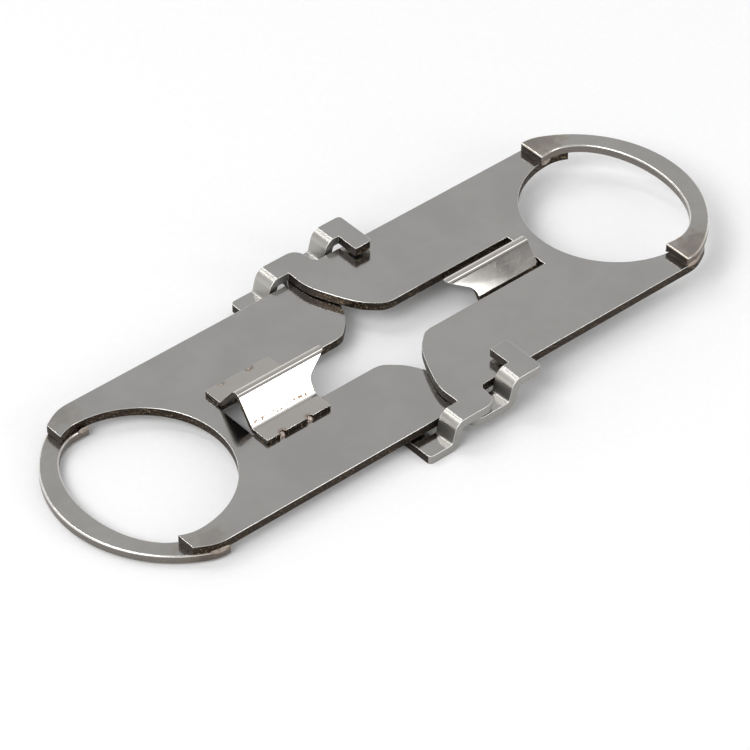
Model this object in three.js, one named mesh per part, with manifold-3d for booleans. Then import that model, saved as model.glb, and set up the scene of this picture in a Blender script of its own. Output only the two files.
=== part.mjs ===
// Pocket bottle opener of stainless steel sheet: two identical pressed halves, one turned end over
// end on the other, that slide along X inside each other's hooked ears. Millimetres, +Z up.
//
// Each half is a flat plate with two arms beside an open slot, an S-bent ear outside each arm that
// hooks round the other plate, and a C-shaped end closed to a finger ring by a welded bow. A folded
// lip bridges each slot, and the points of the two lips catch the bottle cap between them.
import * as THREE from 'three';
import { mergeVertices } from 'three/addons/utils/BufferGeometryUtils.js';
import Module from 'manifold-3d';

const wasm = await Module();
wasm.setup();

// Sheet and fits
const SHEET = 1.6;               // plates and bows
const LIP_SHEET = 0.8;
const PLATE_GAP = 0.2;           // play between the stacked plates
const HOOK_GAP = 0.45;           // play between a hook and the plate it holds
const EAR_GAP = 0.5;             // play between an ear and the edge of the plate it holds
const SEAM = 0.05;               // between faces that are welded together

// Heights on the finished opener; the right plate lies on the left one
const LEFT_PLATE_Z = SHEET + HOOK_GAP;
const RIGHT_PLATE_Z = LEFT_PLATE_Z + SHEET + PLATE_GAP;
const MIDDLE_Z = RIGHT_PLATE_Z - PLATE_GAP / 2;

// Plate, drawn as the right half: ring at +X, arms pointing to -X
const HALF_WIDTH = 20;
const END_CENTRE = 41.5;         // the rounded end is an arc about this point
const END_RADIUS = 21.4;
const CORNER_RADIUS = 7;         // between the straight edge and the rounded end
const HOLE_CENTRE = 49.5;        // widest place of the finger hole
const HOLE_RADIUS = 15.5;        // the side towards the arms is round
const HOLE_REACH = 9.95;         // the tips' inner edge follows half an ellipse this long
const TIP_X = 53;                // the plate's two tips end here
const BOW_X = 47.2;              // the bow starts here, lapped on the tips
const BOW_RADIUS = 15;           // half width of the bow's own opening
const BOW_REACH = 9.7;           // its outer side is half an ellipse this long
const SLOT_HALF = 4.5;
const SLOT_X = 30.3;             // closed end of the slot
const ARM_END = [                // from the slot round the arm's end to the ear
  [5.8, 4.5], [4.5, 4.8], [3.3, 5.7], [1.6, 7.4], [-1.0, 12.3], [-2.4, 16.4], [-2.5, 20.5],
];

// Ears and hooks
const EAR_OUTER = 24.4;
const EAR_X = 2.4;               // shoulder of the ear
const SHOULDER_RADIUS = 2.2;
const BEND_X = -4.35;            // the ear starts to bend down here
const BEND_RADIUS = 1.25;        // of the sheet's middle plane
const BEND_ANGLE = THREE.MathUtils.degToRad(75);
const HOOK_X = -11.5;            // end of the hook
const TOE_LENGTH = 3.5;          // length of the toe that reaches in over the other plate
const TOE_INNER = 16.2;
const TOE_RADIUS = 0.8;

// Lips, drawn as the right one: the point faces -X
const LIP_FOOT = 17.3;           // the feet start here
const LIP_POINT = 12.7;          // the ridge runs on to here
const LIP_BACK = 30;
const LIP_HEIGHT = 5.4;
const LIP_FOLD = 3.8;            // the flanges fold up to the roof at this half width
const LIP_FLANGE = 7.6;
const LIP_BEND = 0.8;
const CHEEK_HEIGHT = 1.9;        // the front rises square this far, then curves forward
const LEAN_X = 16.2;             // and leans straight to the point from here
const LEAN_HEIGHT = 3.55;
const NOTCHES = [21.4, 26.9];    // small notches in the flanges for the tack welds
const NOTCH_RADIUS = 0.5;

const ARC_STEPS = 36;
const BEND_STEPS = 8;

const steel = (color, roughness) => new THREE.MeshStandardMaterial({ color, roughness, metalness: 1 });

// A closed geometry as a solid for joining and cutting
function toSolid(geometry) {
  geometry.deleteAttribute('normal');
  geometry.deleteAttribute('uv');
  const merged = mergeVertices(geometry, 1e-5);
  return new wasm.Manifold(new wasm.Mesh({
    numProp: 3,
    vertProperties: new Float32Array(merged.attributes.position.array),
    triVerts: new Uint32Array(merged.index.array),
  }));
}

function toGeometry(solid) {
  const mesh = solid.getMesh();
  const geometry = new THREE.BufferGeometry();
  geometry.setAttribute('position', new THREE.BufferAttribute(mesh.vertProperties, 3));
  geometry.setIndex(new THREE.BufferAttribute(mesh.triVerts, 1));
  geometry.computeVertexNormals();
  return geometry;
}

function extruded(points, depth) {
  const shape = new THREE.Shape(points.map(([x, y]) => new THREE.Vector2(x, y)));
  return new THREE.ExtrudeGeometry(shape, { depth, bevelEnabled: false });
}

// An outline in X and Y, thickened up from the height z
const flat = (points, z, depth) => extruded(points, depth).translate(0, 0, z);

// A profile in X and Z, drawn out from y0 to y1
const alongY = (points, y0, y1) => extruded(points, y1 - y0).rotateX(Math.PI / 2).translate(0, y1, 0);

// A profile in Y and Z, drawn out from x0 to x1
const alongX = (points, x0, x1) =>
  extruded(points, x1 - x0).rotateX(Math.PI / 2).rotateZ(Math.PI / 2).translate(x0, 0, 0);

const mirrored = (points) => points.map(([x, y]) => [x, -y]).reverse();

// Points of an elliptical arc about (x, y)
function arc(x, y, rx, ry, from, to, steps = ARC_STEPS) {
  const curve = new THREE.EllipseCurve(x, y, rx, ry, from, to, to < from);
  return curve.getPoints(steps).map((p) => [p.x, p.y]);
}

// Outline of sheet folded along the middle line through the corners, each fold with the same radius
function folded(corners, radius, thickness) {
  const points = corners.map(([x, y]) => new THREE.Vector2(x, y));
  const sides = [[], []];
  const add = (at, along) => {
    const across = new THREE.Vector2(-along.y, along.x).multiplyScalar(thickness / 2);
    sides[0].push([at.x + across.x, at.y + across.y]);
    sides[1].push([at.x - across.x, at.y - across.y]);
  };
  points.forEach((point, i) => {
    const before = i > 0 && point.clone().sub(points[i - 1]).normalize();
    const after = i < points.length - 1 && points[i + 1].clone().sub(point).normalize();
    if (!before || !after) {
      add(point, before || after);
      return;
    }
    const turn = Math.atan2(before.cross(after), before.dot(after));
    const start = point.clone().addScaledVector(before, -radius * Math.tan(Math.abs(turn) / 2));
    const inward = new THREE.Vector2(-before.y, before.x).multiplyScalar(Math.sign(turn));
    const centre = start.clone().addScaledVector(inward, radius);
    for (let k = 0; k <= BEND_STEPS; k += 1) {
      const angle = turn * k / BEND_STEPS;
      add(start.clone().rotateAround(centre, angle), before.clone().rotateAround(new THREE.Vector2(), angle));
    }
  });
  return [...sides[0], ...sides[1].reverse()];
}

const END_X = END_CENTRE + END_RADIUS;
const CORNER_X = END_CENTRE
  + Math.sqrt((END_RADIUS - CORNER_RADIUS) ** 2 - (HALF_WIDTH - CORNER_RADIUS) ** 2);
const CORNER_ANGLE = Math.acos((CORNER_X - END_CENTRE) / (END_RADIUS - CORNER_RADIUS));

// The rounded corner and end of a ring at y > 0, out to the place x
const outerEdge = (x) => [
  ...arc(CORNER_X, HALF_WIDTH - CORNER_RADIUS, CORNER_RADIUS, CORNER_RADIUS,
    Math.PI / 2, CORNER_ANGLE, BEND_STEPS),
  ...arc(END_CENTRE, 0, END_RADIUS, END_RADIUS,
    CORNER_ANGLE, Math.acos((x - END_CENTRE) / END_RADIUS)).slice(1),
];

// The S-bent strip of one ear, with the toe that it carries, on the side y > 0 or y < 0
function earSolid(side) {
  const across = (y0, y1) => (side > 0 ? [y0, y1] : [-y1, -y0]);
  const plateMiddle = RIGHT_PLATE_Z + SHEET / 2;
  const hookMiddle = SHEET / 2;
  const fold = BEND_X - BEND_RADIUS * Math.tan(BEND_ANGLE / 2);
  const drop = (plateMiddle - hookMiddle) / Math.tan(BEND_ANGLE);
  const strip = folded([
    [EAR_X - SHOULDER_RADIUS, plateMiddle],
    [fold, plateMiddle],
    [fold - drop, hookMiddle],
    [HOOK_X + TOE_LENGTH / 2, hookMiddle],
  ], BEND_RADIUS, SHEET);
  const r = TOE_RADIUS;
  const toe = [
    [HOOK_X + TOE_LENGTH, TOE_INNER],
    [HOOK_X + TOE_LENGTH, EAR_OUTER],
    ...arc(HOOK_X + r, EAR_OUTER - r, r, r, Math.PI / 2, Math.PI, BEND_STEPS),
    ...arc(HOOK_X + r, TOE_INNER + r, r, r, Math.PI, Math.PI * 1.5, BEND_STEPS),
  ].map(([x, y]) => [x, side * y]);
  return toSolid(alongY(strip, ...across(HALF_WIDTH + EAR_GAP, EAR_OUTER)))
    .add(toSolid(flat(toe, 0, SHEET)));
}

// The right plate with its ears, one pressing
function plateSolid() {
  const armEnd = new THREE.CatmullRomCurve3(ARM_END.map(([x, y]) => new THREE.Vector3(x, y, 0)));
  const r = SHOULDER_RADIUS;
  const side = [
    [SLOT_X, SLOT_HALF],
    ...armEnd.getPoints(ARC_STEPS).map((p) => [p.x, p.y]),
    [BEND_X, HALF_WIDTH + EAR_GAP],
    [BEND_X, EAR_OUTER],
    ...arc(EAR_X - r, EAR_OUTER - r, r, r, Math.PI / 2, 0, BEND_STEPS),
    [EAR_X + 0.2, HALF_WIDTH + 0.6],
    [EAR_X + 0.8, HALF_WIDTH],
    ...outerEdge(TIP_X),
  ];
  const opening = Math.acos((TIP_X - HOLE_CENTRE) / HOLE_REACH);
  const hole = [
    ...arc(HOLE_CENTRE, 0, HOLE_REACH, HOLE_RADIUS, opening, Math.PI / 2, BEND_STEPS),
    ...arc(HOLE_CENTRE, 0, HOLE_RADIUS, HOLE_RADIUS, Math.PI / 2, Math.PI).slice(1),
  ];
  const outline = [...side, ...hole, ...mirrored(hole).slice(1), ...mirrored(side)];
  return toSolid(flat(outline, RIGHT_PLATE_Z, SHEET)).add(earSolid(1)).add(earSolid(-1));
}

// The bow that closes the right ring, lapped on top of the plate's tips
function bowGeometry() {
  const outer = [[BOW_X, HALF_WIDTH], ...outerEdge(END_X)];
  const start = Math.PI - Math.acos((HOLE_CENTRE - BOW_X) / BOW_RADIUS);
  const hole = [
    ...arc(HOLE_CENTRE, 0, BOW_REACH, BOW_RADIUS, 0, Math.PI / 2),
    ...arc(HOLE_CENTRE, 0, BOW_RADIUS, BOW_RADIUS, Math.PI / 2, start, BEND_STEPS).slice(1),
  ];
  const outline = [...outer, ...mirrored(outer).slice(1), ...mirrored(hole), ...hole.slice(1)];
  return flat(outline, RIGHT_PLATE_Z + SHEET + SEAM, SHEET);
}

// The right lip, standing on z = 0
function lipGeometry() {
  const middle = LIP_SHEET / 2;
  const slope = Math.atan2(LIP_HEIGHT - middle, LIP_FOLD);
  const crest = LIP_HEIGHT - middle + LIP_BEND * (1 / Math.cos(slope) - 1);
  const section = folded([
    [-LIP_FLANGE, middle], [-LIP_FOLD, middle], [0, crest], [LIP_FOLD, middle], [LIP_FLANGE, middle],
  ], LIP_BEND, LIP_SHEET);
  const lean = new THREE.QuadraticBezierCurve(
    new THREE.Vector2(LIP_FOOT, CHEEK_HEIGHT),
    new THREE.Vector2(LIP_FOOT, (CHEEK_HEIGHT + LEAN_HEIGHT + 0.5) / 2),
    new THREE.Vector2(LEAN_X, LEAN_HEIGHT),
  );
  const front = [
    [LIP_BACK, -1], [LIP_BACK, LIP_HEIGHT + 1], [LIP_POINT, LIP_HEIGHT + 1], [LIP_POINT, LIP_HEIGHT],
    ...lean.getPoints(BEND_STEPS).map((p) => [p.x, p.y]).reverse(), [LIP_FOOT, -1],
  ];
  let lip = toSolid(alongX(section, LIP_POINT - 1, LIP_BACK))
    .intersect(toSolid(alongY(front, -LIP_FLANGE - 1, LIP_FLANGE + 1)));
  for (const x of NOTCHES) {
    for (const y of [-LIP_FLANGE, LIP_FLANGE]) {
      const notch = arc(x, y, NOTCH_RADIUS, NOTCH_RADIUS, 0, 2 * Math.PI, 16).slice(1);
      lip = lip.subtract(toSolid(flat(notch, -1, LIP_SHEET + 2)));
    }
  }
  return toGeometry(lip);
}

// The same piece turned end over end, from the right half to the left half
const turnedOver = (geometry) =>
  geometry.clone().translate(0, 0, -MIDDLE_Z).rotateY(Math.PI).translate(0, 0, MIDDLE_Z);

const opener = new THREE.Group();
function place(name, geometry, material) {
  const mesh = new THREE.Mesh(geometry, material);
  mesh.name = name;
  opener.add(mesh);
}

const plate = toGeometry(plateSolid());
const bow = bowGeometry();
const lip = lipGeometry();

place('left_plate', turnedOver(plate), steel(0x9b9a96, 0.26));
place('left_ring_bow', turnedOver(bow), steel(0x96938f, 0.32));
place('left_cap_lip', lip.clone().rotateZ(Math.PI).translate(0, 0, LEFT_PLATE_Z + SHEET + SEAM),
  steel(0xb4b0aa, 0.16));
place('right_plate', plate, steel(0x9b9a96, 0.26));
place('right_ring_bow', bow, steel(0x96938f, 0.32));
place('right_cap_lip', lip.clone().translate(0, 0, RIGHT_PLATE_Z - SEAM - LIP_SHEET),
  steel(0xb4b0aa, 0.16));

export default opener;
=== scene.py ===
"""Looks of a sliding bottle opener made of polished stainless steel sheet.

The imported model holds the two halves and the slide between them. This script gives every pressed piece
rolled edges and its own finish, lays the welds that hold each half together, and sets a plain studio.
Lengths are in metres unless a name says otherwise.
"""

import logging
import math
from dataclasses import dataclass, field
from enum import Enum

import bmesh
import bpy
from mathutils import Matrix, Quaternion, Vector, noise
from mathutils.bvhtree import BVHTree


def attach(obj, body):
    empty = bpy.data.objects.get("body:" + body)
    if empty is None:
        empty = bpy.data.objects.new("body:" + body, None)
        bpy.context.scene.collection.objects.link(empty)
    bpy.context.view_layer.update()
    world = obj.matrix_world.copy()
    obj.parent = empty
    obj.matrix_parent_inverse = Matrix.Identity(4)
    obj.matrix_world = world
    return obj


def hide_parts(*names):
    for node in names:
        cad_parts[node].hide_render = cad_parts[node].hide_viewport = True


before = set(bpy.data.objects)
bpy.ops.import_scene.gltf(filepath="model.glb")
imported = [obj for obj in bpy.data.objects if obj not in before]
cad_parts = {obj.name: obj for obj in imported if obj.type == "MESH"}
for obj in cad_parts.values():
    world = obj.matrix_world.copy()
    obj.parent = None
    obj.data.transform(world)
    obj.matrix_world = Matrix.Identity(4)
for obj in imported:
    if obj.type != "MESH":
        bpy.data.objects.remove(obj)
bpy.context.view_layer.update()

MM = 0.001
WHITE = (1.0, 1.0, 1.0, 1.0)
# Painted shade in the pits along the lip's fold.
FOLD_PIT_SHADE = (0.1, 0.065, 0.04, 1.0)
# Painted shade laid on the curved parts of the satin ears.
BEND_SHADE = (0.76, 0.75, 0.73, 1.0)
SHARP_ANGLE = math.radians(33)
BEAD_SIDES = 12

log = logging.getLogger("opener")


class Half(Enum):
    """The two sliding halves, by the CAD body that carries each."""

    LEFT = "left_half"
    RIGHT = "right_half"

    @property
    def side(self) -> str:
        """The word that starts the names of this half's pieces."""
        return self.value.split("_")[0]

    @property
    def sign(self) -> int:
        """The direction along X in which this half's ring lies."""
        return 1 if self is Half.RIGHT else -1


# Node helpers


def add_node(tree: bpy.types.NodeTree, kind: str, inputs: dict | None = None, **settings) -> bpy.types.Node:
    """Adds a node and fills its sockets.

    Args:
        tree: The tree that gets the node.
        kind: The node's type name.
        inputs: A value or a socket to link, by the input's name or number.
        **settings: Properties of the node itself.

    Returns:
        The new node.
    """
    node = tree.nodes.new(kind)
    for key, value in settings.items():
        setattr(node, key, value)
    for key, value in (inputs or {}).items():
        if isinstance(value, bpy.types.NodeSocket):
            tree.links.new(value, node.inputs[key])
        else:
            node.inputs[key].default_value = value
    return node


def math_node(
    tree: bpy.types.NodeTree, operation: str, *values: object, clamp: bool = False
) -> bpy.types.NodeSocket:
    """Adds a Math node.

    Args:
        tree: The tree that gets the node.
        operation: The operation's name.
        *values: Its operands, as numbers or sockets.
        clamp: Whether the result is kept between 0 and 1.

    Returns:
        The result's socket.
    """
    node = add_node(tree, "ShaderNodeMath", dict(enumerate(values)), operation=operation, use_clamp=clamp)
    return node.outputs[0]


def vector_node(tree: bpy.types.NodeTree, operation: str, *values: object) -> bpy.types.NodeSocket:
    """Adds a Vector Math node.

    Args:
        tree: The tree that gets the node.
        operation: The operation's name.
        *values: Its operands, as vectors or sockets.

    Returns:
        The result's socket: a number for a length, else a vector.
    """
    node = add_node(tree, "ShaderNodeVectorMath", dict(enumerate(values)), operation=operation)
    return node.outputs["Value" if operation in ("LENGTH", "DISTANCE", "DOT_PRODUCT") else "Vector"]


def map_range(
    tree: bpy.types.NodeTree,
    value: object,
    low: float,
    high: float,
    to_low: object = 0.0,
    to_high: object = 1.0,
) -> bpy.types.NodeSocket:
    """Adds a smooth Map Range node.

    Args:
        tree: The tree that gets the node.
        value: The socket to map.
        low: The value that becomes to_low.
        high: The value that becomes to_high.
        to_low: The result at the low end.
        to_high: The result at the high end.

    Returns:
        The mapped value's socket.
    """
    inputs = {"Value": value, "From Min": low, "From Max": high, "To Min": to_low, "To Max": to_high}
    return add_node(tree, "ShaderNodeMapRange", inputs, interpolation_type="SMOOTHSTEP").outputs["Result"]


def noise_node(
    tree: bpy.types.NodeTree, vector: object, scale: object, detail: float = 2.0, roughness: float = 0.5
) -> bpy.types.NodeSocket:
    """Adds a Noise texture.

    Args:
        tree: The tree that gets the node.
        vector: The coordinates' socket.
        scale: The texture's scale.
        detail: The number of octaves.
        roughness: The share that each octave keeps.

    Returns:
        The noise value's socket, from 0 to 1.
    """
    inputs = {"Vector": vector, "Scale": scale, "Detail": detail, "Roughness": roughness}
    return add_node(tree, "ShaderNodeTexNoise", inputs).outputs[0]


def mix_colour(
    tree: bpy.types.NodeTree, factor: object, first: object, second: object, blend: str = "MIX"
) -> bpy.types.NodeSocket:
    """Adds a colour Mix node.

    Args:
        tree: The tree that gets the node.
        factor: How much of the second colour shows.
        first: The colour at factor 0.
        second: The colour at factor 1.
        blend: How the second colour is laid on the first.

    Returns:
        The mixed colour's socket.
    """
    inputs = {"Factor": factor, "A": first, "B": second}
    node = tree.nodes.new("ShaderNodeMix")
    node.data_type = "RGBA"
    node.blend_type = blend
    sockets = {"Factor": node.inputs[0], "A": node.inputs[6], "B": node.inputs[7]}
    for key, value in inputs.items():
        if isinstance(value, bpy.types.NodeSocket):
            tree.links.new(value, sockets[key])
        else:
            sockets[key].default_value = value
    return node.outputs[2]


def new_group(name: str, inputs: dict[str, tuple], outputs: dict[str, str]) -> tuple:
    """Starts a shader node group with named sockets.

    Args:
        name: The group's name.
        inputs: Socket type and default value, by input name.
        outputs: Socket type, by output name.

    Returns:
        The group's tree, its input node and its output node.
    """
    tree = bpy.data.node_groups.new(name, "ShaderNodeTree")
    for label, (kind, default) in inputs.items():
        socket = tree.interface.new_socket(label, in_out="INPUT", socket_type=kind)
        if default is not None:
            socket.default_value = default
    for label, kind in outputs.items():
        tree.interface.new_socket(label, in_out="OUTPUT", socket_type=kind)
    return tree, tree.nodes.new("NodeGroupInput"), tree.nodes.new("NodeGroupOutput")


@dataclass
class SteelEffects:
    """Surface effects that the steel finishes share, one node group each.

    Every group takes the place on the piece in millimetres.
    """

    streak_angles: tuple[float, ...] = (0.06, 1.9, 2.7)
    groups: dict[str, bpy.types.NodeTree] = field(default_factory=dict)

    def build(self) -> None:
        """Builds every group once."""
        self.groups["scratches"] = self._scratches()
        self.groups["polish_clouds"] = self._polish_clouds()
        self.groups["heat_tint"] = self._heat_tint()
        self.groups["sheared_wall"] = self._sheared_wall()
        self.groups["rolled_edge"] = self._rolled_edge()
        self.groups["fold_specks"] = self._fold_specks()

    def place(self, tree: bpy.types.NodeTree, effect: str, inputs: dict) -> bpy.types.Node:
        """Places an effect in a material.

        Args:
            tree: The material's tree.
            effect: The effect's name.
            inputs: Values or sockets, by input name.

        Returns:
            The group node.
        """
        node = tree.nodes.new("ShaderNodeGroup")
        node.node_tree = self.groups[effect]
        for key, value in inputs.items():
            if isinstance(value, bpy.types.NodeSocket):
                tree.links.new(value, node.inputs[key])
            else:
                node.inputs[key].default_value = value
        return node

    def _scratches(self) -> bpy.types.NodeTree:
        """Fine straight scratches in a few directions, as a mask."""
        tree, start, end = new_group(
            "fine_scratches",
            {"Place": ("NodeSocketVector", None), "Amount": ("NodeSocketFloat", 0.5)},
            {"Mask": "NodeSocketFloat"},
        )
        total = None
        for i, angle in enumerate(self.streak_angles):
            turned = add_node(
                tree,
                "ShaderNodeVectorRotate",
                {"Vector": start.outputs["Place"], "Angle": angle},
                rotation_type="Z_AXIS",
            ).outputs[0]
            drawn = vector_node(tree, "MULTIPLY", turned, (0.09 + 0.05 * i, 9.0, 0.6))
            patch = map_range(tree, noise_node(tree, turned, 0.12 + 0.05 * i), 0.45, 0.65)
            line = map_range(tree, noise_node(tree, drawn, 1.0, 1.0), 0.66, 0.74)
            layer = math_node(tree, "MULTIPLY", line, patch)
            total = layer if total is None else math_node(tree, "MAXIMUM", total, layer)
        tree.links.new(math_node(tree, "MULTIPLY", total, start.outputs["Amount"]), end.inputs["Mask"])
        return tree

    def _polish_clouds(self) -> bpy.types.NodeTree:
        """Slow changes of the polish, and the faint waves that the buffing wheel leaves."""
        tree, start, end = new_group(
            "polish_clouds",
            {"Place": ("NodeSocketVector", None)},
            {"Cloud": "NodeSocketFloat", "Wave": "NodeSocketFloat", "Grain": "NodeSocketFloat"},
        )
        place = start.outputs["Place"]
        cloud = map_range(tree, noise_node(tree, place, 0.11, 4.0, 0.6), 0.3, 0.7)
        wave = noise_node(tree, place, 0.07, 1.0)
        drawn = vector_node(tree, "MULTIPLY", place, (0.5, 7.0, 7.0))
        tree.links.new(cloud, end.inputs["Cloud"])
        tree.links.new(wave, end.inputs["Wave"])
        tree.links.new(noise_node(tree, drawn, 1.0, 3.0, 0.6), end.inputs["Grain"])
        return tree

    def _heat_tint(self) -> bpy.types.NodeTree:
        """The brown to straw colours round a weld, repeated at every weld like it."""
        tree, start, end = new_group(
            "heat_tint",
            {
                "Place": ("NodeSocketVector", None),
                "Weld": ("NodeSocketVector", (0.0, 0.0, 0.0)),
                "Pitch": ("NodeSocketFloat", 0.0),
                "Reach": ("NodeSocketFloat", 4.0),
            },
            {"Colour": "NodeSocketColor", "Mask": "NodeSocketFloat"},
        )
        mirrored = vector_node(tree, "ABSOLUTE", start.outputs["Place"])
        apart = vector_node(tree, "SUBTRACT", mirrored, start.outputs["Weld"])
        parts = add_node(tree, "ShaderNodeSeparateXYZ", {0: apart}).outputs
        along = math_node(tree, "SUBTRACT", math_node(tree, "ABSOLUTE", parts["X"]), start.outputs["Pitch"])
        flat = add_node(tree, "ShaderNodeCombineXYZ", {"X": along, "Y": parts["Y"]}).outputs[0]
        away = math_node(tree, "DIVIDE", vector_node(tree, "LENGTH", flat), start.outputs["Reach"])
        ragged = noise_node(tree, start.outputs["Place"], 0.6, 3.0)
        away = math_node(tree, "ADD", away, map_range(tree, ragged, 0.3, 0.7, -0.2, 0.2))
        ramp = add_node(tree, "ShaderNodeValToRGB", {0: away})
        stops = (
            (0.0, (0.42, 0.34, 0.31)),
            (0.35, (0.55, 0.4, 0.3)),
            (0.65, (0.8, 0.66, 0.48)),
            (1.0, (1, 1, 1)),
        )
        ramp.color_ramp.elements[0].position = stops[0][0]
        ramp.color_ramp.elements[1].position = stops[-1][0]
        for position, _ in stops[1:-1]:
            ramp.color_ramp.elements.new(position)
        for element, (_, colour) in zip(ramp.color_ramp.elements, stops):
            element.color = (*colour, 1.0)
        tree.links.new(ramp.outputs["Color"], end.inputs["Colour"])
        tree.links.new(map_range(tree, away, 0.15, 1.0, 1.0, 0.0), end.inputs["Mask"])
        return tree

    def _sheared_wall(self) -> bpy.types.NodeTree:
        """The sheet's cut walls: their roughness, and masks for the places where they differ.

        Speck is the bright grain of a torn wall, Satin the smoothed walls beyond a distance from the
        middle line, Bent the curved parts there, End the walls across the sheet's ends, and Under the
        faces that look down.
        """
        tree, start, end = new_group(
            "sheared_wall",
            {
                "Place": ("NodeSocketVector", None),
                "Coarseness": ("NodeSocketFloat", 0.5),
                "Satin From": ("NodeSocketFloat", 100.0),
            },
            {
                "Mask": "NodeSocketFloat",
                "Height": "NodeSocketFloat",
                "Speck": "NodeSocketFloat",
                "Satin": "NodeSocketFloat",
                "Bent": "NodeSocketFloat",
                "End": "NodeSocketFloat",
                "Under": "NodeSocketFloat",
            },
        )
        place = start.outputs["Place"]
        normal = add_node(tree, "ShaderNodeNewGeometry").outputs["True Normal"]
        upright = add_node(tree, "ShaderNodeSeparateXYZ", {0: normal}).outputs["Z"]
        # The wall mask also covers the lower rims, which take the dark wall colour as painted shade.
        mask = map_range(tree, upright, 0.12, 0.3, 1.0, 0.0)
        mask = math_node(tree, "MULTIPLY", mask, map_range(tree, upright, -0.97, -0.9))
        lines = noise_node(tree, vector_node(tree, "MULTIPLY", place, (5.0, 5.0, 0.7)), 1.0, 3.0, 0.7)
        pits = noise_node(tree, place, 3.5, 4.0, 0.75)
        height = math_node(tree, "ADD", lines, math_node(tree, "MULTIPLY", pits, start.outputs["Coarseness"]))
        across = add_node(tree, "ShaderNodeSeparateXYZ", {0: place}).outputs["Y"]
        beyond = math_node(tree, "SUBTRACT", math_node(tree, "ABSOLUTE", across), start.outputs["Satin From"])
        tree.links.new(mask, end.inputs["Mask"])
        tree.links.new(math_node(tree, "MULTIPLY", height, mask), end.inputs["Height"])
        tree.links.new(map_range(tree, pits, 0.54, 0.7), end.inputs["Speck"])
        facing = add_node(tree, "ShaderNodeSeparateXYZ", {0: normal}).outputs["X"]
        end_wall = map_range(tree, math_node(tree, "ABSOLUTE", facing), 0.9, 0.97)
        outside = map_range(tree, math_node(tree, "ABSOLUTE", across), 9.0, 11.0)
        tree.links.new(math_node(tree, "MULTIPLY", end_wall, outside), end.inputs["End"])
        satin = map_range(tree, beyond, 0.0, 0.3)
        bent = map_range(tree, math_node(tree, "ABSOLUTE", upright), 0.95, 0.995, 1.0, 0.0)
        tree.links.new(satin, end.inputs["Satin"])
        tree.links.new(math_node(tree, "MULTIPLY", satin, bent), end.inputs["Bent"])
        tree.links.new(map_range(tree, upright, -0.3, -0.15, 1.0, 0.0), end.inputs["Under"])
        return tree

    def _rolled_edge(self) -> bpy.types.NodeTree:
        """The rounded upper rims of each piece, with a painted highlight in their colour and a few duller
        nicks.
        """
        tree, start, end = new_group(
            "rolled_edge",
            {"Place": ("NodeSocketVector", None), "Nicks": ("NodeSocketFloat", 0.3)},
            {"Mask": "NodeSocketFloat", "Dull": "NodeSocketFloat"},
        )
        rim = add_node(tree, "ShaderNodeAttribute", attribute_name="rim").outputs["Fac"]
        normal = add_node(tree, "ShaderNodeNewGeometry").outputs["True Normal"]
        upright = add_node(tree, "ShaderNodeSeparateXYZ", {0: normal}).outputs["Z"]
        # Only rims that face upward, towards the lights, carry the painted highlight.
        rim = math_node(tree, "MULTIPLY", rim, map_range(tree, upright, 0.1, 0.35))
        nick = map_range(tree, noise_node(tree, start.outputs["Place"], 1.6, 4.0, 0.7), 0.52, 0.66)
        dull = math_node(tree, "MULTIPLY", math_node(tree, "MULTIPLY", nick, rim), start.outputs["Nicks"])
        tree.links.new(rim, end.inputs["Mask"])
        tree.links.new(dull, end.inputs["Dull"])
        return tree


    def _fold_specks(self) -> bpy.types.NodeTree:
        """Dark dots along a fold that runs parallel to X: pits in the fold, with their shade painted in."""
        tree, start, end = new_group(
            "fold_specks",
            {"Place": ("NodeSocketVector", None), "Fold": ("NodeSocketFloat", 4.0)},
            {"Mask": "NodeSocketFloat"},
        )
        parts = add_node(tree, "ShaderNodeSeparateXYZ", {0: start.outputs["Place"]}).outputs
        away = math_node(tree, "ABSOLUTE", math_node(tree, "ADD", parts["Y"], start.outputs["Fold"]))
        near = map_range(tree, away, 0.1, 0.35, 1.0, 0.0)
        dots = map_range(tree, noise_node(tree, start.outputs["Place"], 2.4, 3.0, 0.6), 0.46, 0.58)
        left = map_range(tree, parts["X"], -2.0, 2.0, 1.0, 0.0)
        dots = math_node(tree, "MULTIPLY", dots, left)
        tree.links.new(math_node(tree, "MULTIPLY", near, dots), end.inputs["Mask"])
        return tree


@dataclass(frozen=True)
class HeatSpot:
    """Where a finish is coloured by weld heat, in millimetres, on either side of the middle.

    The spots lie at weld[0] less and plus the pitch along X, and at weld[1] across.
    """

    weld: tuple[float, float, float]
    pitch: float
    reach: float
    strength: float = 1.0


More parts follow.
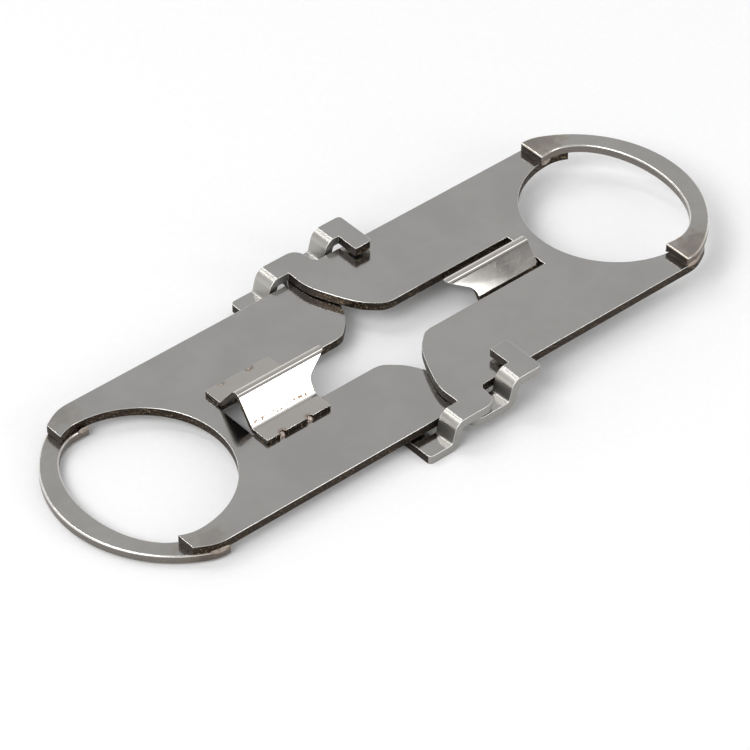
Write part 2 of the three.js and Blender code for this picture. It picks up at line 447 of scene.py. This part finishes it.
@dataclass(frozen=True)
class SteelFinish:
    """A stainless steel finish: how bright, how smooth and how worn.

    Distances in it are in millimetres. A satin_from of 100 lies outside the opener, so that nothing is satin.
    """

    name: str
    colour: tuple[float, float, float]
    roughness: float
    cloudiness: float = 0.05
    scratches: float = 0.5
    wall_roughness: float = 0.5
    # The wall colours are partly the dark oxide of the cut edges and partly painted shade under the upper
    # rims and on walls in shadow.
    wall_dark: tuple[float, float, float] = (0.03, 0.023, 0.019)
    wall_speck: tuple[float, float, float] = (0.6, 0.46, 0.3)
    end_wall: tuple[float, float, float] = (0.05, 0.04, 0.035)
    satin_from: float = 100.0
    rim_dullness: float = 0.03
    bend_dullness: float = 0.2
    # dark_underside paints faces that look down dark, as painted shade.
    dark_underside: bool = False
    speckled_fold: float = 0.0
    wall_coarseness: float = 0.5
    wave_height: float = 0.3
    heat: HeatSpot | None = None

    def material(self, effects: SteelEffects) -> bpy.types.Material:
        """Makes the finish's material.

        Args:
            effects: The shared surface effects, already built.

        Returns:
            The material.
        """
        material = bpy.data.materials.new(self.name)
        material.use_nodes = True
        tree = material.node_tree
        shader = tree.nodes["Principled BSDF"]
        shader.inputs["Metallic"].default_value = 1.0
        position = add_node(tree, "ShaderNodeTexCoord").outputs["Object"]
        place = vector_node(tree, "MULTIPLY", position, (1000.0, 1000.0, 1000.0))
        clouds = effects.place(tree, "polish_clouds", {"Place": place}).outputs
        lines = effects.place(tree, "scratches", {"Place": place, "Amount": self.scratches}).outputs["Mask"]
        wall = effects.place(tree, "sheared_wall", {
            "Place": place, "Coarseness": self.wall_coarseness, "Satin From": self.satin_from,
        }).outputs
        rim = effects.place(tree, "rolled_edge", {"Place": place}).outputs

        bright = (*self.colour, 1.0)
        dim = (*(0.93 * c for c in self.colour), 1.0)
        # edge is a painted highlight: a lighter colour for the upper rims, where the lights catch them.
        edge = (*(min(0.95, 1.4 * c) for c in self.colour), 1.0)
        colour = mix_colour(tree, clouds["Cloud"], dim, bright)
        # Cut walls: dark oxide of the cut edge, together with painted shade on the lower rims and on shadowed
        # walls.
        walls = mix_colour(tree, wall["Speck"], (*self.wall_dark, 1.0), (*self.wall_speck, 1.0))
        walls = mix_colour(tree, wall["Satin"], walls, (*(0.72 * c for c in self.colour), 1.0))
        # end_wall: dark oxide on the ends' cut walls, with painted shade where they sit in shadow.
        walls = mix_colour(tree, wall["End"], walls, (*self.end_wall, 1.0))
        colour = mix_colour(tree, wall["Mask"], colour, walls)
        # Faces that look down, inside the folded lip, get the dark wall colour as painted shade.
        if self.dark_underside:
            colour = mix_colour(tree, wall["Under"], colour, (*self.wall_dark, 1.0))
        # Curved faces and walls of the satin ears are darkened by BEND_SHADE: painted shade on the bends.
        bent = mix_colour(tree, wall["Bent"], WHITE, BEND_SHADE)
        colour = mix_colour(tree, 1.0, colour, bent, "MULTIPLY")
        colour = mix_colour(tree, rim["Mask"], colour, edge)
        if self.speckled_fold:
            inputs = {"Place": place, "Fold": self.speckled_fold}
            specks = effects.place(tree, "fold_specks", inputs).outputs["Mask"]
            # The fold's pits are darkened with painted shade.
            colour = mix_colour(tree, specks, colour, FOLD_PIT_SHADE)
        if self.heat:
            inputs = {
                "Place": place,
                "Weld": self.heat.weld,
                "Pitch": self.heat.pitch,
                "Reach": self.heat.reach,
            }
            heat = effects.place(tree, "heat_tint", inputs).outputs
            share = math_node(tree, "MULTIPLY", heat["Mask"], self.heat.strength)
            colour = mix_colour(tree, share, colour, heat["Colour"], "MULTIPLY")
        tree.links.new(colour, shader.inputs["Base Color"])

        rough = math_node(tree, "MULTIPLY_ADD", clouds["Cloud"], self.cloudiness, self.roughness)
        rough = math_node(tree, "MULTIPLY_ADD", clouds["Grain"], 0.5 * self.cloudiness, rough)
        rough = math_node(tree, "MULTIPLY_ADD", lines, 0.14, rough)
        rough = math_node(tree, "MULTIPLY_ADD", rim["Dull"], 0.3, rough)
        rough = math_node(tree, "MULTIPLY_ADD", rim["Mask"], self.rim_dullness, rough)
        rough = math_node(tree, "MULTIPLY_ADD", wall["Bent"], self.bend_dullness, rough)
        rough = math_node(
            tree,
            "MULTIPLY_ADD",
            wall["Mask"],
            math_node(tree, "SUBTRACT", self.wall_roughness, rough),
            rough,
            clamp=True,
        )
        tree.links.new(rough, shader.inputs["Roughness"])

        height = math_node(tree, "MULTIPLY", clouds["Wave"], self.wave_height)
        height = math_node(tree, "MULTIPLY_ADD", lines, -0.004, height)
        height = math_node(tree, "MULTIPLY_ADD", wall["Height"], 0.05, height)
        inputs = {"Height": height, "Strength": 1.0, "Distance": 0.2 * MM}
        bump = add_node(tree, "ShaderNodeBump", inputs)
        tree.links.new(bump.outputs["Normal"], shader.inputs["Normal"])
        return material


@dataclass(frozen=True)
class WeldFinish:
    """Weld metal: rippled, and stained brown and grey in patches."""

    name: str = "tack_metal"
    pale: tuple[float, float, float] = (0.6, 0.53, 0.49)
    dark: tuple[float, float, float] = (0.42, 0.34, 0.3)
    roughness: float = 0.34

    def material(self, effects: SteelEffects) -> bpy.types.Material:
        """Makes the weld's material.

        Args:
            effects: The shared surface effects, already built.

        Returns:
            The material.
        """
        material = bpy.data.materials.new(self.name)
        material.use_nodes = True
        tree = material.node_tree
        shader = tree.nodes["Principled BSDF"]
        shader.inputs["Metallic"].default_value = 1.0
        position = add_node(tree, "ShaderNodeTexCoord").outputs["Object"]
        place = vector_node(tree, "MULTIPLY", position, (1000.0, 1000.0, 1000.0))
        clouds = effects.place(tree, "polish_clouds", {"Place": place}).outputs
        soot = map_range(tree, noise_node(tree, place, 1.3, 5.0, 0.7), 0.38, 0.62)
        colour = mix_colour(tree, soot, (*self.dark, 1.0), (*self.pale, 1.0))
        tree.links.new(colour, shader.inputs["Base Color"])
        rough = math_node(tree, "MULTIPLY_ADD", clouds["Cloud"], 0.12, self.roughness)
        tree.links.new(rough, shader.inputs["Roughness"])
        ripple = noise_node(tree, vector_node(tree, "MULTIPLY", place, (4.0, 1.0, 1.0)), 1.2, 3.0)
        bump = add_node(tree, "ShaderNodeBump", {"Height": ripple, "Strength": 0.5, "Distance": 0.05 * MM})
        tree.links.new(bump.outputs["Normal"], shader.inputs["Normal"])
        return material


# Mesh helpers


def finish_piece(
    mesh: bpy.types.Mesh,
    name: str,
    material: bpy.types.Material,
    half: Half,
    replaces: str | None = None,
) -> bpy.types.Object:
    """Puts a mesh into the scene as a piece of the opener.

    Args:
        mesh: The piece's mesh, in the row frame.
        name: The piece's name.
        material: Its finish.
        half: The half that it rides on.
        replaces: The CAD node that it stands for, if any.

    Returns:
        The new object.
    """
    piece = bpy.data.objects.new(name, mesh)
    bpy.context.scene.collection.objects.link(piece)
    mesh.materials.clear()
    mesh.materials.append(material)
    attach(piece, half.value)
    if replaces:
        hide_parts(replaces)
    log.info("%s: %d faces", name, len(mesh.polygons))
    return piece


def weighted_normals(mesh: bpy.types.Mesh) -> bpy.types.Mesh:
    """Shades a mesh smooth with normals that its large faces decide.

    Args:
        mesh: The mesh, which is used up.

    Returns:
        A new mesh with the normals stored.
    """
    mesh.shade_smooth()
    holder = bpy.data.objects.new("holder", mesh)
    bpy.context.scene.collection.objects.link(holder)
    modifier = holder.modifiers.new("normals", "WEIGHTED_NORMAL")
    modifier.mode = "FACE_AREA"
    modifier.weight = 50
    evaluated = holder.evaluated_get(bpy.context.evaluated_depsgraph_get())
    result = bpy.data.meshes.new_from_object(evaluated)
    bpy.data.objects.remove(holder)
    bpy.data.meshes.remove(mesh)
    return result


def rolled_edges(node: str, radius: float, segments: int = 3) -> bpy.types.Mesh:
    """Copies a CAD node's mesh with whole faces and rounded edges.

    Args:
        node: The CAD node.
        radius: How far each edge is rounded.
        segments: The number of faces across a rounded edge.

    Returns:
        The mesh. Its face attribute "rim" is 1 on the rounded edges.
    """
    sheet = bmesh.new()
    sheet.from_mesh(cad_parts[node].data)
    for layer in list(sheet.loops.layers.uv.values()):
        sheet.loops.layers.uv.remove(layer)
    rim = sheet.faces.layers.float.new("rim")
    bmesh.ops.remove_doubles(sheet, verts=sheet.verts, dist=0.002 * MM)
    bmesh.ops.dissolve_limit(sheet, angle_limit=math.radians(1.0), verts=sheet.verts, edges=sheet.edges)
    sharp = [e for e in sheet.edges if e.is_manifold and e.calc_face_angle() > SHARP_ANGLE]
    result = bmesh.ops.bevel(
        sheet, geom=sharp, offset=radius, offset_type="OFFSET", segments=segments, profile=0.5,
        affect="EDGES", clamp_overlap=True, miter_outer="SHARP",
    )
    for face in result["faces"]:
        face[rim] = 1.0
    bmesh.ops.recalc_face_normals(sheet, faces=sheet.faces)
    mesh = bpy.data.meshes.new(node + "_sheet")
    sheet.to_mesh(mesh)
    sheet.free()
    return weighted_normals(mesh)


def search_tree(node: bpy.types.Object) -> BVHTree:
    """Makes a ray search tree of a CAD node.

    Args:
        node: The CAD node's object.

    Returns:
        The tree, in the row frame.
    """
    points = [node.matrix_world @ v.co for v in node.data.vertices]
    return BVHTree.FromPolygons(points, [tuple(f.vertices) for f in node.data.polygons])


def bead_mesh(
    name: str, path: list[Vector], outward: list[Vector], proud: float, half_height: float
) -> bpy.types.Mesh:
    """Sweeps a flattened bead of weld metal along a seam, tapered at both ends.

    Args:
        name: The mesh's name.
        path: Points along the seam.
        outward: The wall's outward direction at each point.
        proud: How far the bead stands out at its middle.
        half_height: How far it covers the seam upward and downward.

    Returns:
        The closed mesh.
    """
    bead = bmesh.new()
    rings = []
    for i, (point, away) in enumerate(zip(path, outward)):
        share = (i + 0.35) / (len(path) - 0.3)
        size = math.sqrt(math.sin(math.pi * share)) * (1 + 0.12 * math.sin(2.6 * i))
        ring = []
        for k in range(BEAD_SIDES):
            turn = 2 * math.pi * k / BEAD_SIDES
            offset = away * (proud * size * math.cos(turn))
            offset.z += half_height * size * math.sin(turn)
            ring.append(bead.verts.new(point + offset))
        rings.append(ring)
    for first, second in zip(rings, rings[1:]):
        for k in range(BEAD_SIDES):
            after = (k + 1) % BEAD_SIDES
            bead.faces.new((first[k], first[after], second[after], second[k]))
    bead.faces.new(list(reversed(rings[0])))
    bead.faces.new(rings[-1])
    bmesh.ops.recalc_face_normals(bead, faces=bead.faces)
    mesh = bpy.data.meshes.new(name)
    bead.to_mesh(mesh)
    bead.free()
    mesh.shade_smooth()
    return mesh


class Finishes:
    """The opener's finishes as materials."""

    def __init__(self, effects: SteelEffects) -> None:
        """Makes each material once.

        Args:
            effects: The shared surface effects, already built.
        """
        plate_heat = HeatSpot(weld=(50.0, 18.5, 0.0), pitch=0.0, reach=5.0, strength=0.25)
        bow_heat = HeatSpot(weld=(50.0, 18.5, 0.0), pitch=0.0, reach=6.5, strength=0.5)
        lip_heat = HeatSpot(weld=(24.15, 7.6, 0.0), pitch=2.75, reach=1.3, strength=0.8)
        self.plate = SteelFinish(
            "plate_steel", (0.63, 0.62, 0.6), roughness=0.1, satin_from=20.2, heat=plate_heat
        ).material(effects)
        self.bow = SteelFinish(
            "bow_steel", (0.6, 0.585, 0.56), roughness=0.14, cloudiness=0.08,
            wall_dark=(0.19, 0.175, 0.16), wall_speck=(0.34, 0.27, 0.2), wall_roughness=0.32, heat=bow_heat,
        ).material(effects)
        self.lip = SteelFinish(
            "lip_steel", (0.74, 0.71, 0.67), roughness=0.045, cloudiness=0.03, scratches=0.35,
            wave_height=0.03, dark_underside=True, speckled_fold=3.6, heat=lip_heat,
        ).material(effects)
        self.tack = WeldFinish().material(effects)
        self.weld = WeldFinish("ring_weld_metal", (0.44, 0.38, 0.33), (0.25, 0.19, 0.15)).material(effects)


@dataclass
class PressedPlate:
    """One flat plate with its two hooked ears."""

    half: Half
    edge_radius: float = 0.3 * MM

    def build(self, finishes: Finishes) -> bpy.types.Object:
        """Makes the plate.

        Args:
            finishes: The opener's materials.

        Returns:
            The plate's object.
        """
        node = f"{self.half.side}_plate"
        mesh = rolled_edges(node, self.edge_radius)
        name = f"{self.half.side}_pressed_plate"
        return finish_piece(mesh, name, finishes.plate, self.half, node)


@dataclass
class RingBow:
    """The bow that closes one ring."""

    half: Half
    edge_radius: float = 0.4 * MM

    def build(self, finishes: Finishes) -> bpy.types.Object:
        """Makes the bow.

        Args:
            finishes: The opener's materials.

        Returns:
            The bow's object.
        """
        node = f"{self.half.side}_ring_bow"
        mesh = rolled_edges(node, self.edge_radius)
        name = f"{self.half.side}_polished_bow"
        return finish_piece(mesh, name, finishes.bow, self.half, node)


@dataclass
class CapLip:
    """The folded lip that catches the cap."""

    half: Half
    edge_radius: float = 0.12 * MM

    def build(self, finishes: Finishes) -> bpy.types.Object:
        """Makes the lip.

        Args:
            finishes: The opener's materials.

        Returns:
            The lip's object.
        """
        node = f"{self.half.side}_cap_lip"
        mesh = rolled_edges(node, self.edge_radius, segments=2)
        name = f"{self.half.side}_folded_lip"
        return finish_piece(mesh, name, finishes.lip, self.half, node)


@dataclass
class RingWelds:
    """The short beads that join the bow to the plate's tips, outside and inside the ring."""

    half: Half
    length: float = 3.4 * MM
    inner_length: float = 2.0 * MM
    proud: float = 0.16 * MM
    half_height: float = 0.55 * MM
    inset: float = 0.1 * MM
    steps: int = 18

    def build(self, finishes: Finishes) -> None:
        """Lays the four beads.

        Args:
            finishes: The opener's materials.
        """
        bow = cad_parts[f"{self.half.side}_ring_bow"]
        corners = [bow.matrix_world @ Vector(c) for c in bow.bound_box]
        low = min(c.z for c in corners)
        high = max(c.z for c in corners)
        start = min(abs(c.x) for c in corners)
        seam = low if self.half is Half.RIGHT else high
        tree = search_tree(bow)
        for side in (1, -1):
            for inner, length in ((False, self.length), (True, self.inner_length)):
                path, outward = [], []
                for i in range(self.steps):
                    x = self.half.sign * (start + self.inset + length * i / (self.steps - 1))
                    origin = Vector((x, 0.0 if inner else side, 0.5 * (low + high)))
                    heading = Vector((0.0, side if inner else -side, 0.0))
                    hit, normal, _, _ = tree.ray_cast(origin, heading)
                    if hit is None:
                        continue
                    path.append(Vector((hit.x, hit.y, seam)))
                    outward.append(Vector((normal.x, normal.y, 0.0)).normalized())
                place = "inner" if inner else "outer"
                edge = "far" if side > 0 else "near"
                name = f"{self.half.side}_{place}_{edge}_ring_weld"
                mesh = bead_mesh(name, path, outward, self.proud, self.half_height)
                finish_piece(mesh, name, finishes.weld, self.half)


@dataclass
class LipTacks:
    """The tack welds that fill the notches in the lip's flanges."""

    half: Half
    from_back: tuple[float, ...] = (8.6 * MM, 3.1 * MM)
    length: float = 0.56 * MM
    depth: float = 0.42 * MM
    height: float = 0.78 * MM
    inset: float = 0.24 * MM
    unevenness: float = 0.16
    beside: tuple[float, float] = (24 * MM, 10 * MM)

    def build(self, finishes: Finishes) -> None:
        """Lays the four tacks.

        Args:
            finishes: The opener's materials.
        """
        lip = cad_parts[f"{self.half.side}_cap_lip"]
        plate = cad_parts[f"{self.half.side}_plate"]
        corners = [lip.matrix_world @ Vector(c) for c in lip.bound_box]
        back = max(abs(c.x) for c in corners)
        edge = max(c.y for c in corners)
        face = self._plate_face(plate)
        for i, gap in enumerate(self.from_back):
            for side in (1, -1):
                centre = Vector((self.half.sign * (back - gap), side * (edge - self.inset), face))
                name = f"{self.half.side}_lip_tack_{2 * i + (1 if side > 0 else 2)}"
                finish_piece(self._tack(name, centre), name, finishes.tack, self.half)

    def _plate_face(self, plate: bpy.types.Object) -> float:
        """Finds the plate's face that the lip is welded to.

        Args:
            plate: The half's plate from the CAD.

        Returns:
            The face's height.
        """
        up = 1.0 if self.half is Half.LEFT else -1.0
        origin = Vector((self.half.sign * self.beside[0], self.beside[1], up))
        return search_tree(plate).ray_cast(origin, Vector((0, 0, -up)))[0].z

    def _tack(self, name: str, centre: Vector) -> bpy.types.Mesh:
        """Makes one low, uneven dome of weld metal.

        Args:
            name: The mesh's name.
            centre: The dome's middle, on the plate's face.

        Returns:
            The closed mesh.
        """
        dome = bmesh.new()
        bmesh.ops.create_icosphere(dome, subdivisions=3, radius=1.0)
        for vert in dome.verts:
            uneven = 1 + self.unevenness * noise.noise(vert.co * 1.7 + centre * 900)
            vert.co = Vector((
                vert.co.x * self.length * uneven,
                vert.co.y * self.depth * uneven,
                vert.co.z * self.height,
            )) + centre
        mesh = bpy.data.meshes.new(name)
        dome.to_mesh(mesh)
        dome.free()
        mesh.shade_smooth()
        return mesh


@dataclass
class Studio:
    """A pale floor, soft lights round the opener, and the camera."""

    azimuth: float = math.radians(-40.57)
    elevation: float = math.radians(41.01)
    distance: float = 0.641
    shift: tuple[float, float] = (-1.34 * MM, -5.89 * MM)
    target_height: float = 3.65 * MM
    lens_mm: float = 194.6
    floor_half: float = 3.0
    dark_card: tuple[float, float, float] = (0.53, -0.762, 0.372)

    def build(self) -> None:
        """Builds the floor, the lights and the camera."""
        self._floor()
        self._surroundings()
        self._lights()
        self._camera()
        bpy.context.scene.view_settings.view_transform = "Standard"

    def _floor(self) -> None:
        """A plain pale floor under the opener."""
        half = self.floor_half
        corners = [(-half, -half, 0), (half, -half, 0), (half, half, 0), (-half, half, 0)]
        mesh = bpy.data.meshes.new("floor")
        mesh.from_pydata(corners, [], [(0, 1, 2, 3)])
        floor = bpy.data.objects.new("floor", mesh)
        floor.location.z = -0.02 * MM
        bpy.context.scene.collection.objects.link(floor)
        material = bpy.data.materials.new("pale_paper")
        material.use_nodes = True
        tree = material.node_tree
        shader = tree.nodes["Principled BSDF"]
        shader.inputs["Roughness"].default_value = 0.8
        shader.inputs["Specular IOR Level"].default_value = 0.2
        position = add_node(tree, "ShaderNodeTexCoord").outputs["Object"]
        tooth = noise_node(tree, position, 900.0, 3.0)
        colour = mix_colour(tree, tooth, (0.9, 0.9, 0.905, 1.0), (0.94, 0.94, 0.945, 1.0))
        tree.links.new(colour, shader.inputs["Base Color"])
        mesh.materials.append(material)

    def _surroundings(self) -> None:
        """Pale walls, darker towards the ceiling, with one dark card at the right front."""
        world = bpy.data.worlds.new("room")
        world.use_nodes = True
        bpy.context.scene.world = world
        tree = world.node_tree
        direction = add_node(tree, "ShaderNodeTexCoord").outputs["Generated"]
        height = add_node(tree, "ShaderNodeSeparateXYZ", {0: direction}).outputs["Z"]
        ramp = add_node(tree, "ShaderNodeValToRGB", {0: height})
        stops = ((0.0, 0.95), (0.3, 0.8), (0.55, 0.52), (0.8, 0.47), (1.0, 0.4))
        for position, _ in stops[1:-1]:
            ramp.color_ramp.elements.new(position)
        for element, (position, value) in zip(ramp.color_ramp.elements, stops):
            element.position = position
            element.color = (value, value, value, 1.0)
        facing = vector_node(tree, "DOT_PRODUCT", direction, self.dark_card)
        shade = map_range(tree, facing, 0.9, 0.975, 1.0, 0.33)
        colour = vector_node(tree, "SCALE", ramp.outputs["Color"])
        tree.links.new(shade, colour.node.inputs["Scale"])
        tree.links.new(colour, tree.nodes["Background"].inputs["Color"])

    def _area(self, name: str, place: tuple, size: tuple, radiance: float, roll: float = 0.0) -> None:
        """Adds a rectangular soft light.

        Args:
            name: The light's name.
            place: Its middle.
            size: Its width and height.
            radiance: How bright its face is, where white paper under full light is about 1.
            roll: How far it is turned about the line to the opener.
        """
        light = bpy.data.lights.new(name, "AREA")
        light.shape = "RECTANGLE"
        light.size, light.size_y = size
        light.energy = radiance * math.pi * size[0] * size[1]
        lamp = bpy.data.objects.new(name, light)
        lamp.location = place
        facing = Vector(place).to_track_quat("Z", "Y") @ Quaternion((0, 0, 1), roll)
        lamp.rotation_euler = facing.to_euler()
        bpy.context.scene.collection.objects.link(lamp)

    def _lights(self) -> None:
        """Narrow lights behind the opener, one at its left, one above, and a softbox low at the front."""
        self._area("back_left_light", (-0.40, 0.83, 1.31), (0.2, 0.9), 6.5)
        self._area("left_light", (-1.12, -0.16, 1.13), (1.1, 0.8), 5.0)
        self._area("back_right_light", (0.17, 0.92, 1.30), (0.1, 0.9), 6.0)
        self._area("ridge_light", (0.44, -0.12, 0.77), (0.16, 0.16), 1.5)
        self._area("front_softbox", (0.3150, -0.6575, 0.2490), (0.24, 0.40), 3.8, math.radians(20))

    def _camera(self) -> None:
        """The camera, on a long lens."""
        back = Vector((
            math.sin(self.azimuth) * math.cos(self.elevation),
            -math.cos(self.azimuth) * math.cos(self.elevation),
            math.sin(self.elevation),
        ))
        right = Vector((math.cos(self.azimuth), math.sin(self.azimuth), 0.0))
        up = back.cross(right)
        place = back * self.distance + right * self.shift[0] + up * self.shift[1]
        place.z += self.target_height
        data = bpy.data.cameras.new("camera")
        data.lens = self.lens_mm
        data.clip_start = 0.01
        camera = bpy.data.objects.new("camera", data)
        camera.matrix_world = Matrix((
            (right.x, up.x, back.x, place.x),
            (right.y, up.y, back.y, place.y),
            (right.z, up.z, back.z, place.z),
            (0.0, 0.0, 0.0, 1.0),
        ))
        bpy.context.scene.collection.objects.link(camera)
        bpy.context.scene.camera = camera


def main() -> None:
    """Builds the finishes, both halves and the studio, in order."""
    logging.basicConfig(level=logging.INFO, format="%(name)s: %(message)s")
    effects = SteelEffects()
    effects.build()
    finishes = Finishes(effects)
    for half in Half:
        PressedPlate(half).build(finishes)
        RingBow(half).build(finishes)
        CapLip(half).build(finishes)
        RingWelds(half).build(finishes)
        LipTacks(half).build(finishes)
    Studio().build()


if __name__ == "__main__":
    main()
